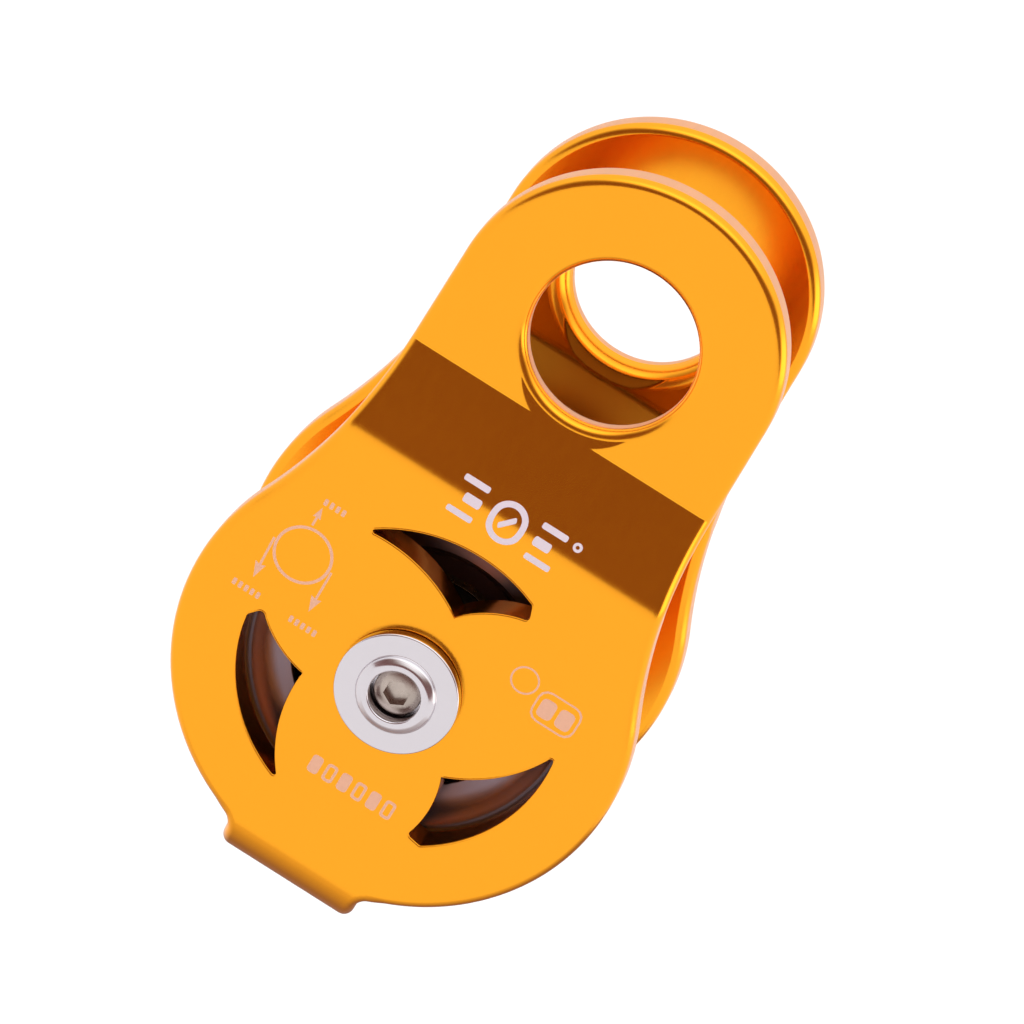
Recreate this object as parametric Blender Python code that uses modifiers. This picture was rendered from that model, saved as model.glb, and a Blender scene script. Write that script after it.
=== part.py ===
"""Rope pulley with fixed cheeks: a folded sheet frame, a ball-bearing sheave and a two-part axle.

X runs across the cheeks, Y along the axle (the front cheek faces -Y), Z up from the axle to the eye.
The part hangs from its eye, whose middle is the origin. Lengths are in metres, and heights are
counted from the axle, because the frame is set out about it.
"""

import math

import bmesh
import bpy

MM = 0.001

# Folded frame
SHEET = 5.0 * MM
RIM_ROUND = 1.4 * MM
BODY_WIDTH = 37.0 * MM
HEAD_WIDTH = 28.8 * MM
DISC_RADIUS = 30.0 * MM
HEAD_RADIUS = 21.2 * MM
HEAD_HEIGHT = 52.3 * MM
SIDE_TAPER = math.radians(1.2)
WAIST_RADIUS = 68.0 * MM
EYE_RADIUS = 10.6 * MM
EYE_HEIGHT = 52.0 * MM
JOGGLE_TOP = 39.4 * MM
JOGGLE_FOOT = 26.8 * MM
RIDGE_BEND = 8.0 * MM
VALLEY_BEND = 2.8 * MM
STRAP_WIDTH = 18.8 * MM
STRAP_BOTTOM = 33.5 * MM
STRAP_BEND = 7.0 * MM
RELIEF_RADIUS = 3.0 * MM

# Windows in each cheek: polar corners about the axle, and how far each side bulges outwards
WINDOW_COUNT = 3
WINDOW_TIP = (21.15 * MM, math.radians(131.8))
WINDOW_END = (19.6 * MM, math.radians(61.4))
WINDOW_CORNER = (12.47 * MM, math.radians(84.7))
WINDOW_LONG_BULGE = 1.6 * MM
WINDOW_SHORT_BULGE = 0.84 * MM
WINDOW_END_ROUND = 0.75 * MM

# Sheave
SHEAVE_RADIUS = 22.0 * MM
SHEAVE_WIDTH = 25.4 * MM
ROPE_GROOVE_RADIUS = 9.0 * MM
TREAD_RADIUS = 15.0 * MM

# Bearing
RACE_OUTER = 11.0 * MM
RACE_BORE = 5.25 * MM
RACE_WIDTH = 6.0 * MM
BALL_COUNT = 10
BALL_RADIUS = 1.4 * MM
PITCH_RADIUS = 8.0 * MM
SHIELD_THICKNESS = 0.4 * MM

# Axle
AXLE_RADIUS = 5.0 * MM
FLANGE_RADIUS = 8.05 * MM
FLANGE_HEIGHT = 1.5 * MM
COLLAR_RADIUS = 5.2 * MM
COLLAR_HEIGHT = 0.9 * MM
SCREW_RADIUS = 2.0 * MM
SCREW_HEAD_RADIUS = 3.1 * MM
SCREW_SOCKET = 3.0 * MM
BARREL_SOCKET = 5.0 * MM

GAP = 0.25 * MM
TURN_STEPS = 40

FINISHES = {
    "orange_anodised": ((0.93, 0.36, 0.02), 0.32, 1.0),
    "bronze_anodised": ((0.18, 0.11, 0.09), 0.38, 1.0),
    "polished_aluminium": ((0.86, 0.86, 0.88), 0.16, 1.0),
    "plain_steel": ((0.42, 0.37, 0.33), 0.3, 1.0),
    "bearing_steel": ((0.62, 0.62, 0.64), 0.15, 1.0),
    "black_rubber": ((0.02, 0.02, 0.022), 0.6, 0.0),
    "cage_brass": ((0.62, 0.43, 0.16), 0.35, 1.0),
}


def clear_scene():
    for obj in list(bpy.data.objects):
        bpy.data.objects.remove(obj, do_unlink=True)


def new_collection(name):
    collection = bpy.data.collections.new(name)
    bpy.context.scene.collection.children.link(collection)
    return collection


def finish_material(name):
    material = bpy.data.materials.get(name)
    if material is None:
        colour, roughness, metallic = FINISHES[name]
        material = bpy.data.materials.new(name)
        material.use_nodes = True
        shader = material.node_tree.nodes["Principled BSDF"]
        shader.inputs["Base Color"].default_value = (*colour, 1.0)
        shader.inputs["Roughness"].default_value = roughness
        shader.inputs["Metallic"].default_value = metallic
        material.diffuse_color = (*colour, 1.0)
    return material


def add_object(name, mesh, collection, finish=None):
    obj = bpy.data.objects.new(name, mesh)
    collection.objects.link(obj)
    if finish:
        mesh.materials.append(finish_material(finish))
        mesh.shade_smooth()
        mesh.set_sharp_from_angle(angle=math.radians(35))
    return obj


def arc(centre, radius, start, end, steps):
    """Points along an arc, both ends included; angles in radians."""
    turn = (end - start) / steps
    angles = [start + turn * i for i in range(steps + 1)]
    return [(centre[0] + radius * math.cos(a), centre[1] + radius * math.sin(a)) for a in angles]


def bulged(start, end, bulge, steps):
    """Points on a circular arc between two points, whose middle stands off to the left by bulge."""
    dx, dy = end[0] - start[0], end[1] - start[1]
    chord = math.hypot(dx, dy)
    radius = (chord**2 / 4 + bulge**2) / (2 * bulge)
    middle = ((start[0] + end[0]) / 2, (start[1] + end[1]) / 2)
    left = (-dy / chord, dx / chord)
    centre = (middle[0] + left[0] * (bulge - radius), middle[1] + left[1] * (bulge - radius))
    first = math.atan2(start[1] - centre[1], start[0] - centre[0])
    half = math.asin(chord / 2 / radius)
    return arc(centre, radius, first, first - 2 * half, steps)


def polar(radius, angle):
    return (radius * math.cos(angle), radius * math.sin(angle))


def flat_mesh(name, loops, thickness, rim=0.0, rim_steps=0):
    """A plate in the XY plane from closed outlines, with rounded rims inside the outlines, as a welded mesh."""
    curve = bpy.data.curves.new(name, "CURVE")
    curve.dimensions = "2D"
    curve.fill_mode = "BOTH"
    curve.extrude = thickness / 2 - rim
    curve.bevel_depth = rim
    curve.bevel_resolution = rim_steps
    curve.offset = -rim
    for loop in loops:
        spline = curve.splines.new("POLY")
        spline.points.add(len(loop) - 1)
        spline.use_cyclic_u = True
        for point, (x, y) in zip(spline.points, loop):
            point.co = (x, y, 0.0, 1.0)
    obj = bpy.data.objects.new(name, curve)
    bpy.context.scene.collection.objects.link(obj)
    graph = bpy.context.evaluated_depsgraph_get()
    mesh = bpy.data.meshes.new_from_object(obj.evaluated_get(graph))
    bpy.data.objects.remove(obj, do_unlink=True)
    welded = bmesh.new()
    welded.from_mesh(mesh)
    bmesh.ops.remove_doubles(welded, verts=welded.verts, dist=1e-6)
    bmesh.ops.recalc_face_normals(welded, faces=welded.faces)
    welded.to_mesh(mesh)
    welded.free()
    return mesh


def joggle_angle():
    return math.atan2((BODY_WIDTH - HEAD_WIDTH) / 2, JOGGLE_TOP - JOGGLE_FOOT)


def fold_path():
    """The middle of the sheet, from the strap's middle up the front cheek: (length, turn) of each stretch."""
    angle = joggle_angle()
    bend = STRAP_BEND - SHEET / 2
    ridge_run = RIDGE_BEND * math.tan(angle / 2)
    valley_run = VALLEY_BEND * math.tan(angle / 2)
    foot = JOGGLE_FOOT - SHEET / 2 * math.tan(angle / 2)
    slope = (JOGGLE_TOP - JOGGLE_FOOT) / math.cos(angle)
    return [
        (BODY_WIDTH / 2 - STRAP_BEND, 0.0),
        (bend * math.pi / 2, -math.pi / 2),
        (foot - ridge_run + STRAP_BOTTOM - STRAP_BEND, 0.0),
        (RIDGE_BEND * angle, -angle),
        (slope - ridge_run - valley_run, 0.0),
        (VALLEY_BEND * angle, angle),
        (HEAD_HEIGHT + HEAD_RADIUS, 0.0),
    ]


def station(stretches):
    """Distance along the sheet to the end of that many stretches of the fold path."""
    return sum(length for length, _ in fold_path()[:stretches])


def place_on_path(distance):
    """The middle of the sheet at this distance from the strap's middle: (y, z, heading)."""
    y, z, heading = 0.0, SHEET / 2 - STRAP_BOTTOM, math.pi
    for length, turn in fold_path():
        run = min(distance, length)
        if turn:
            side = math.copysign(math.pi / 2, turn)
            turned_to = heading + turn * run / length
            y += length / abs(turn) * (math.cos(heading + side) - math.cos(turned_to + side))
            z += length / abs(turn) * (math.sin(heading + side) - math.sin(turned_to + side))
            heading = turned_to
        else:
            y += run * math.cos(heading)
            z += run * math.sin(heading)
        distance -= length
        if distance <= 0:
            break
    return y, z, heading


def axle_station():
    return station(2) + STRAP_BOTTOM - STRAP_BEND


def head_station(height):
    return station(6) + height - place_on_path(station(6))[1]


def frame_outline():
    """The flat blank of one cheek and half the strap: X across, Y along the sheet from the strap's middle."""
    axle, head = axle_station(), head_station(HEAD_HEIGHT)
    strap = STRAP_WIDTH / 2
    relief_x = strap + RELIEF_RADIUS
    relief_drop = math.sqrt((DISC_RADIUS + RELIEF_RADIUS) ** 2 - relief_x**2)
    relief_end = math.atan2(relief_drop, -relief_x)
    side = (math.cos(SIDE_TAPER), math.sin(SIDE_TAPER))
    start = (
        (HEAD_RADIUS + WAIST_RADIUS) * side[0],
        head - axle + (HEAD_RADIUS + WAIST_RADIUS) * side[1],
    )
    along = start[0] * side[1] - start[1] * side[0]
    reach = start[0] ** 2 + start[1] ** 2 - (DISC_RADIUS + WAIST_RADIUS) ** 2
    drop = -along - math.sqrt(along**2 - reach)
    waist = (start[0] + drop * side[1], start[1] - drop * side[0])
    meet = math.atan2(waist[1], waist[0])
    right = [(strap, -SHEET)]
    right += arc((relief_x, axle - relief_drop), RELIEF_RADIUS, math.pi, relief_end, 4)
    right += arc((0.0, axle), DISC_RADIUS, relief_end - math.pi, meet, 20)[1:]
    right += arc(
        (waist[0], waist[1] + axle), WAIST_RADIUS, meet + math.pi, SIDE_TAPER + math.pi, 6
    )[1:]
    top = arc((0.0, head), HEAD_RADIUS, SIDE_TAPER, math.pi - SIDE_TAPER, 28)
    left = [(-x, y) for x, y in reversed(right)]
    return right + top + left


def fold(mesh):
    """Cuts the flat blank across its bends and wraps it round the fold path; Z was the outer face."""
    blank = bmesh.new()
    blank.from_mesh(mesh)
    cuts = [0.0]
    for stretch, steps in ((1, 6), (3, 2), (5, 1)):
        start, end = station(stretch), station(stretch + 1)
        cuts += [start + (end - start) * i / steps for i in range(steps + 1)]
    for cut in cuts:
        bmesh.ops.bisect_plane(
            blank,
            geom=blank.verts[:] + blank.edges[:] + blank.faces[:],
            dist=1e-7,
            plane_co=(0.0, cut, 0.0),
            plane_no=(0.0, 1.0, 0.0),
            clear_inner=cut == 0.0,
        )
    for vert in blank.verts:
        x, distance, out = vert.co
        y, z, heading = place_on_path(distance)
        outward = heading + math.pi / 2
        vert.co = (x, y + out * math.cos(outward), z + out * math.sin(outward))
    blank.to_mesh(mesh)
    blank.free()


def window_outline(number):
    """One curved-triangle window, in X and Z about the axle."""
    turn = number * 2 * math.pi / WINDOW_COUNT
    tip, corner, end = (
        polar(radius, angle + turn) for radius, angle in (WINDOW_TIP, WINDOW_CORNER, WINDOW_END)
    )
    outer_radius = WINDOW_TIP[0]
    end_turn = WINDOW_END_ROUND / outer_radius
    outer = arc((0.0, 0.0), outer_radius, WINDOW_END[1] + turn + end_turn, WINDOW_TIP[1] + turn, 12)
    long_side = bulged(tip, corner, WINDOW_LONG_BULGE, 5)
    short_side = bulged(corner, end, WINDOW_SHORT_BULGE, 4)
    return outer + long_side[1:] + short_side[1:]


def cutter(name, mesh, collection):
    obj = add_object(name, mesh, collection)
    obj.rotation_euler = (math.pi / 2, 0.0, 0.0)
    obj.hide_render = True
    obj.display_type = "WIRE"
    return obj


def cut(obj, tool):
    modifier = obj.modifiers.new(tool.name, "BOOLEAN")
    modifier.operation = "DIFFERENCE"
    modifier.solver = "EXACT"
    modifier.object = tool


def build_cheek_frame(parts, cutters):
    eye = arc((0.0, head_station(EYE_HEIGHT)), EYE_RADIUS, 0.0, 2 * math.pi, 32)[:-1]
    mesh = flat_mesh("cheek_frame", [frame_outline(), eye], SHEET, RIM_ROUND, 1)
    fold(mesh)
    frame = add_object("cheek_frame", mesh, parts, "orange_anodised")
    mirror = frame.modifiers.new("Rear cheek", "MIRROR")
    mirror.use_axis = (False, True, False)
    mirror.merge_threshold = 0.01 * MM
    through = BODY_WIDTH + 2 * SHEET
    for number in range(WINDOW_COUNT):
        mesh = flat_mesh("window", [window_outline(number)], through)
        cut(frame, cutter(f"window_cutter_{number + 1}", mesh, cutters))
    hole = arc((0.0, 0.0), AXLE_RADIUS + GAP, 0.0, 2 * math.pi, 24)[:-1]
    cut(frame, cutter("axle_hole_cutter", flat_mesh("axle_hole", [hole], through), cutters))


def turned(name, profile, collection, finish, steps=TURN_STEPS):
    """A piece turned about the axle. The profile is (radius, distance along the axle), clockwise."""
    mesh = bpy.data.meshes.new(name)
    points = [(radius, 0.0, along) for radius, along in profile]
    count = len(points)
    mesh.from_pydata(points, [(i, (i + 1) % count) for i in range(count)], [])
    obj = add_object(name, mesh, collection, finish)
    screw = obj.modifiers.new("Turn", "SCREW")
    screw.axis = "Z"
    screw.steps = screw.render_steps = steps
    screw.use_merge_vertices = True
    screw.merge_threshold = 0.01 * MM
    screw.use_smooth_shade = True
    obj.rotation_euler = (-math.pi / 2, 0.0, 0.0)
    return obj


def build_sheave(parts):
    side = SHEAVE_WIDTH / 2
    groove = ROPE_GROOVE_RADIUS
    centre = TREAD_RADIUS + groove
    lip = math.acos((centre - SHEAVE_RADIUS + 0.3 * MM) / groove)
    angles = [lip * (1 - i / 7) for i in range(8)]
    tread = [(centre - groove * math.cos(a), groove * math.sin(a)) for a in angles]
    face = [(17.0 * MM, 9.6 * MM), (20.8 * MM, side), (SHEAVE_RADIUS - 0.5 * MM, side)]
    rim = [(SHEAVE_RADIUS, side - 0.5 * MM), (SHEAVE_RADIUS, tread[0][1] + 0.5 * MM)]
    recess = [(13.4 * MM, 5.4 * MM), (14.0 * MM, 6.0 * MM), (16.4 * MM, 9.2 * MM)]
    half_outside = face + rim + tread
    right = recess + half_outside
    left = [(radius, -along) for radius, along in reversed(right[:-1])]
    bore = RACE_OUTER + GAP
    seat = RACE_WIDTH / 2 + GAP
    ring = (seat + 1.5 * MM, RACE_OUTER + 0.9 * MM)
    bore_line = [
        (bore, -5.4 * MM),
        (bore, -ring[0]),
        (ring[1], -ring[0]),
        (ring[1], -seat),
        (bore, -seat),
        (bore, seat),
        (RACE_OUTER - 1.0 * MM, seat),
        (RACE_OUTER - 1.0 * MM, 5.4 * MM),
    ]
    turned("sheave", right + left + bore_line, parts, "bronze_anodised", 48)


def build_bearing(parts, pivot):
    half = RACE_WIDTH / 2
    chamfer = 0.3 * MM
    groove = BALL_RADIUS + GAP
    sweep = math.radians(38)
    angles = [sweep - 2 * sweep * i / 4 for i in range(5)]
    outer_track = [(PITCH_RADIUS + groove * math.cos(a), -groove * math.sin(a)) for a in angles]
    inner_track = [(PITCH_RADIUS - groove * math.cos(a), groove * math.sin(a)) for a in angles]
    outer_land, inner_land = PITCH_RADIUS + 1.2 * MM, PITCH_RADIUS - 1.2 * MM
    outer_race = [
        (RACE_OUTER - chamfer, half),
        (RACE_OUTER, half - chamfer),
        (RACE_OUTER, chamfer - half),
        (RACE_OUTER - chamfer, -half),
        (outer_land, -half),
        *outer_track,
        (outer_land, half),
    ]
    inner_race = [
        (inner_land, half),
        *inner_track,
        (inner_land, -half),
        (RACE_BORE + chamfer, -half),
        (RACE_BORE, chamfer - half),
        (RACE_BORE, half - chamfer),
        (RACE_BORE + chamfer, half),
    ]
    turned("outer_race", outer_race, parts, "bearing_steel")
    turned("inner_race", inner_race, parts, "bearing_steel")
    shield_in, shield_out = inner_land + 0.3 * MM, outer_land - GAP
    for name, middle in (("shield_front", -half), ("shield_rear", half)):
        middle -= math.copysign(SHIELD_THICKNESS, middle)
        near, far = middle + SHIELD_THICKNESS / 2, middle - SHIELD_THICKNESS / 2
        shield = [(shield_in, near), (shield_out, near), (shield_out, far), (shield_in, far)]
        turned(name, shield, parts, "black_rubber")
    for number in range(BALL_COUNT):
        add_ball(number, parts, pivot)


def add_ball(number, parts, pivot):
    mesh = bpy.data.meshes.new(f"ball_{number + 1:02d}")
    ball = bmesh.new()
    bmesh.ops.create_uvsphere(ball, u_segments=10, v_segments=6, radius=BALL_RADIUS)
    ball.to_mesh(mesh)
    ball.free()
    obj = add_object(mesh.name, mesh, parts, "bearing_steel")
    across, up = polar(PITCH_RADIUS, 2 * math.pi * number / BALL_COUNT)
    obj.location = (across, 0.0, up)
    obj.parent = pivot


def build_cage(parts, cutters, pivot):
    half, inner, outer = 1.95 * MM, PITCH_RADIUS - 0.5 * MM, PITCH_RADIUS + 0.5 * MM
    profile = [(inner, half), (outer, half), (outer, -half), (inner, -half)]
    cage = turned("ball_cage", profile, parts, "cage_brass", 60)
    cage.parent = pivot
    for number in range(BALL_COUNT):
        mesh = bpy.data.meshes.new("pocket")
        pocket = bmesh.new()
        size = BALL_RADIUS + GAP
        bmesh.ops.create_cone(
            pocket, cap_ends=True, segments=12, radius1=size, radius2=size, depth=4 * MM
        )
        pocket.to_mesh(mesh)
        pocket.free()
        tool = cutter(f"pocket_cutter_{number + 1:02d}", mesh, cutters)
        angle = 2 * math.pi * number / BALL_COUNT
        across, up = polar(PITCH_RADIUS, angle)
        tool.location = (across, 0.0, up)
        tool.rotation_euler = (0.0, math.pi / 2 - angle, 0.0)
        cut(cage, tool)


def build_retaining_ring(parts):
    """An internal snap ring with two inward lugs, in its groove in front of the bearing."""
    inner, outer = RACE_OUTER - 1.0 * MM, RACE_OUTER + 0.6 * MM
    opening, lug = math.radians(14), math.radians(10)
    down = -math.pi / 2
    start, end = down + opening, down - opening + 2 * math.pi
    loop = arc((0.0, 0.0), outer, start, end, 40)
    loop += arc((0.0, 0.0), inner - 1.2 * MM, end, end - lug, 2)
    loop += arc((0.0, 0.0), inner, end - lug, start + lug, 34)
    loop += arc((0.0, 0.0), inner - 1.2 * MM, start + lug, start, 2)
    mesh = flat_mesh("retaining_ring", [loop], 1.0 * MM)
    obj = add_object("retaining_ring", mesh, parts, "plain_steel")
    obj.rotation_euler = (math.pi / 2, 0.0, 0.0)
    obj.location = (0.0, -RACE_WIDTH / 2 - GAP - 0.75 * MM, 0.0)


def build_spacers(parts):
    bore, waist, foot = AXLE_RADIUS + GAP, 6.5 * MM, 8.2 * MM
    race, cheek = RACE_WIDTH / 2 + GAP, BODY_WIDTH / 2 - SHEET - GAP
    profile = [
        (bore, cheek),
        (foot - 0.3 * MM, cheek),
        (foot, cheek - 0.3 * MM),
        (foot, cheek - 2.0 * MM),
        (waist, cheek - 4.2 * MM),
        (waist, race + 0.3 * MM),
        (waist - 0.3 * MM, race),
        (bore, race),
    ]
    turned("spacer_rear", profile, parts, "plain_steel")
    front = [(radius, -along) for radius, along in reversed(profile)]
    turned("spacer_front", front, parts, "plain_steel")


def flange_profile(inner):
    """The outside of an axle flange, from its inner edge outwards to its underside; outwards is positive."""
    under = BODY_WIDTH / 2 + GAP
    top = under + FLANGE_HEIGHT
    crown = top + COLLAR_HEIGHT
    return [
        (inner, crown - 0.3 * MM),
        (inner + 0.3 * MM, crown - 0.05 * MM),
        (inner + 0.8 * MM, crown),
        (COLLAR_RADIUS - 0.6 * MM, crown - 0.15 * MM),
        (COLLAR_RADIUS - 0.2 * MM, crown - 0.5 * MM),
        (COLLAR_RADIUS, top),
        (FLANGE_RADIUS - 0.3 * MM, top),
        (FLANGE_RADIUS, top - 0.3 * MM),
        (FLANGE_RADIUS, under),
    ]


def build_axle(parts, cutters):
    under = BODY_WIDTH / 2 + GAP
    joint = BODY_WIDTH / 2 - SHEET - 0.3 * MM
    neck = AXLE_RADIUS
    thread = SCREW_RADIUS + GAP
    recess = SCREW_HEAD_RADIUS + GAP
    spigot, seat = 3.4 * MM, under - 1.1 * MM
    barrel = flange_profile(0.0)[2:] + [
        (neck, under),
        (neck, 0.3 * MM - joint),
        (neck - 0.3 * MM, -joint),
        (spigot + GAP, -joint),
        (spigot + GAP, 3.2 * MM - joint),
        (thread, 3.2 * MM - joint),
        (thread, -0.6 * MM),
        (0.0, 1.2 * MM),
        (0.0, under + FLANGE_HEIGHT + COLLAR_HEIGHT),
    ]
    obj = turned("axle_barrel", barrel, parts, "polished_aluminium")
    cut(obj, socket_cutter("barrel_socket_cutter", BARREL_SOCKET, under + 1.0 * MM, cutters))
    cap = flange_profile(recess) + [
        (neck, under),
        (neck, joint + GAP),
        (spigot, joint + GAP),
        (spigot, joint - 2.8 * MM),
        (thread, joint - 2.8 * MM),
        (thread, seat),
        (recess, seat),
    ]
    front_cap = [(radius, -along) for radius, along in reversed(cap)]
    turned("axle_cap", front_cap, parts, "polished_aluminium")
    build_screw(parts, cutters, seat)


def build_screw(parts, cutters, seat):
    head, crown = seat + 0.2 * MM, seat + 2.3 * MM
    screw = [
        (0.0, crown),
        (SCREW_HEAD_RADIUS * 0.55, crown - 0.05 * MM),
        (SCREW_HEAD_RADIUS * 0.85, crown - 0.3 * MM),
        (SCREW_HEAD_RADIUS, crown - 0.8 * MM),
        (SCREW_HEAD_RADIUS, head),
        (SCREW_RADIUS, head),
        (SCREW_RADIUS, 2.0 * MM),
        (SCREW_RADIUS - 0.5 * MM, 1.5 * MM),
        (0.0, 1.5 * MM),
    ]
    front = [(radius, -along) for radius, along in reversed(screw)]
    obj = turned("axle_screw", front, parts, "plain_steel", 32)
    cut(obj, socket_cutter("screw_socket_cutter", SCREW_SOCKET, 1.3 * MM - crown, cutters))


def socket_cutter(name, across_flats, floor, cutters):
    """A hexagonal prism along the axle, from the socket's floor outwards."""
    mesh = bpy.data.meshes.new(name)
    prism = bmesh.new()
    length = 6.0 * MM
    corner = across_flats / 2 / math.cos(math.pi / 6)
    bmesh.ops.create_cone(
        prism, cap_ends=True, segments=6, radius1=corner, radius2=corner, depth=length
    )
    prism.to_mesh(mesh)
    prism.free()
    tool = cutter(name, mesh, cutters)
    tool.location = (0.0, floor + math.copysign(length / 2, floor), 0.0)
    return tool


def hang_from_eye(parts):
    """Everything above is placed about the axle. The part's origin is the middle of the eye it hangs by."""
    axle = bpy.data.objects.new("axle_centre", None)
    axle.location = (0.0, 0.0, -EYE_HEIGHT)
    for obj in [obj for obj in bpy.data.objects if obj.parent is None and obj is not axle]:
        obj.parent = axle
    parts.objects.link(axle)


def main():
    clear_scene()
    parts = new_collection("rope_pulley")
    cutters = new_collection("cutters")
    cutters.hide_render = True
    pivot = bpy.data.objects.new("cage_pivot", None)
    parts.objects.link(pivot)
    build_cheek_frame(parts, cutters)
    build_sheave(parts)
    build_bearing(parts, pivot)
    build_cage(parts, cutters, pivot)
    build_retaining_ring(parts)
    build_spacers(parts)
    build_axle(parts, cutters)
    hang_from_eye(parts)


main()
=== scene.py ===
"""The looks of a rope pulley: a folded orange sheet frame, a bronze sheave and a polished axle.

Heights are counted from the middle of the axle while a piece is being made. The finished piece is
then set down, so that the middle of the eye, which the pulley hangs by, is the origin.
"""

import math

import bmesh
import bpy
from bpy.props import FloatProperty, FloatVectorProperty, PointerProperty
from mathutils import Matrix, Vector


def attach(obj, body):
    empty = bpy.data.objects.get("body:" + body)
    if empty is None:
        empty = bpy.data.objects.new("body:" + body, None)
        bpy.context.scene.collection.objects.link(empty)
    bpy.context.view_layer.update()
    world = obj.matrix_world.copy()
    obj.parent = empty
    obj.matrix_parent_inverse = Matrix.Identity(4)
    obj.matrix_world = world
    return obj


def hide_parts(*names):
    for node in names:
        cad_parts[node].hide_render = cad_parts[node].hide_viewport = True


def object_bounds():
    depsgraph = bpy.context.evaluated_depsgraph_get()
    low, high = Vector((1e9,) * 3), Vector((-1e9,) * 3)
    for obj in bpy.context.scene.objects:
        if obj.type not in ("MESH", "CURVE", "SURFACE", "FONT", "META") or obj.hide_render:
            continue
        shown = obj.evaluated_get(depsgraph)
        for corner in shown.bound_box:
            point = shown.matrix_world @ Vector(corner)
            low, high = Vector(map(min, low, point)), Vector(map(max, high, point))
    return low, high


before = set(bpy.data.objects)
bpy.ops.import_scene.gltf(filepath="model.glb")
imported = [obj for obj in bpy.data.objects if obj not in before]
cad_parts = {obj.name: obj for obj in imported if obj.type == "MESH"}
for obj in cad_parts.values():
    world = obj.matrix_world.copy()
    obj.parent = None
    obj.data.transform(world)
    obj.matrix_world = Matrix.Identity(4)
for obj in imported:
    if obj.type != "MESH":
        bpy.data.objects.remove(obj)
CAD_BOX = [list(corner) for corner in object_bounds()]

bl_info = {
    "name": "Rope pulley",
    "version": (1, 0, 0),
    "blender": (4, 5, 0),
    "location": "View3D > Sidebar > Pulley",
    "description": "Builds the pieces of a rope pulley and the studio it stands in",
    "category": "Object",
}

MM = 0.001
WINDOWS = 3
TURN_STEPS = 144
EYE_STEPS = 160
SMOOTH_ANGLE = math.radians(32)


def length(name, description, millimetres):
    return FloatProperty(
        name=name,
        description=description,
        default=millimetres * MM,
        min=0.0,
        subtype="DISTANCE",
        unit="LENGTH",
    )


def angle(name, description, degrees):
    return FloatProperty(
        name=name,
        description=description,
        default=math.radians(degrees),
        subtype="ANGLE",
        unit="ROTATION",
    )


def colour(name, description, value):
    return FloatVectorProperty(
        name=name,
        description=description,
        default=value,
        size=3,
        min=0.0,
        max=1.0,
        subtype="COLOR",
    )


class PulleyFrameSizes(bpy.types.PropertyGroup):
    """The folded sheet."""

    sheet: length("Sheet", "Thickness of the sheet", 5.0)
    rim_round: length("Rim rounding", "Radius along the outline and the eye", 1.4)
    body_width: length("Body width", "Across the outside of the cheeks at the sheave", 37.0)
    head_width: length("Head width", "Across the outside of the cheeks at the eye", 28.8)
    disc_radius: length("Disc radius", "Outline round the sheave", 30.0)
    head_radius: length("Head radius", "Outline round the eye", 21.2)
    head_height: length("Head height", "Centre of the head's outline above the axle", 52.3)
    side_taper: angle("Side taper", "How far each side of the head leans outwards", 1.2)
    waist_radius: length("Waist radius", "Hollow between head and disc", 68.0)
    eye_radius: length("Eye radius", "Wall of the eye", 10.6)
    eye_height: length("Eye height", "Middle of the eye above the axle", 52.0)
    joggle_top: length("Joggle top", "Where the slope meets the head", 39.4)
    joggle_foot: length("Joggle foot", "Where the slope meets the disc", 26.8)
    ridge_bend: length("Ridge bend", "Middle radius of the bend at the joggle's foot", 5.0)
    valley_bend: length("Valley bend", "Middle radius of the bend at the joggle's top", 2.8)
    strap_width: length("Strap width", "Width of the strap under the sheave", 19.4)
    strap_bottom: length("Strap depth", "Underside of the strap below the axle", 34.1)
    strap_bend: length("Strap bend", "Outer radius of the strap's bends", 7.0)
    relief_radius: length("Relief radius", "Hollow where the strap leaves the disc", 1.6)
    eye_flare: length("Eye flare", "Radius that rolls the eye outwards between the cheeks", 2.9)
    window_lip: length("Window lip", "Radius of the lip round each window", 0.17)


class PulleySheaveSizes(bpy.types.PropertyGroup):
    """The grooved wheel."""

    radius: length("Radius", "Outside of the flanges", 22.0)
    width: length("Width", "Across the flanges", 25.4)
    groove: length("Groove radius", "Round bottom of the rope groove", 9.0)
    tread: length("Tread radius", "From the axle to the bottom of the groove", 15.0)
    bore: length("Bore radius", "Seat of the bearing", 11.25)


class PulleyAxleSizes(bpy.types.PropertyGroup):
    """The two-part axle and its screw."""

    radius: length("Axle radius", "Round part inside the bearing", 5.0)
    flange_radius: length("Flange radius", "Flange against the cheek", 8.05)
    flange_height: length("Flange height", "Thickness of the flange", 1.5)
    collar_radius: length("Collar radius", "Raised collar on the flange", 5.2)
    collar_height: length("Collar height", "How far the collar stands up", 0.9)
    screw_radius: length("Screw radius", "Shank of the screw", 2.0)
    screw_head: length("Screw head radius", "Domed head of the screw", 3.1)
    screw_socket: length("Screw socket", "Across the flats of its hexagon", 3.0)
    barrel_socket: length("Barrel socket", "Across the flats at the rear", 5.0)
    gap: length("Gap", "Clearance between neighbouring pieces", 0.25)


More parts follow.
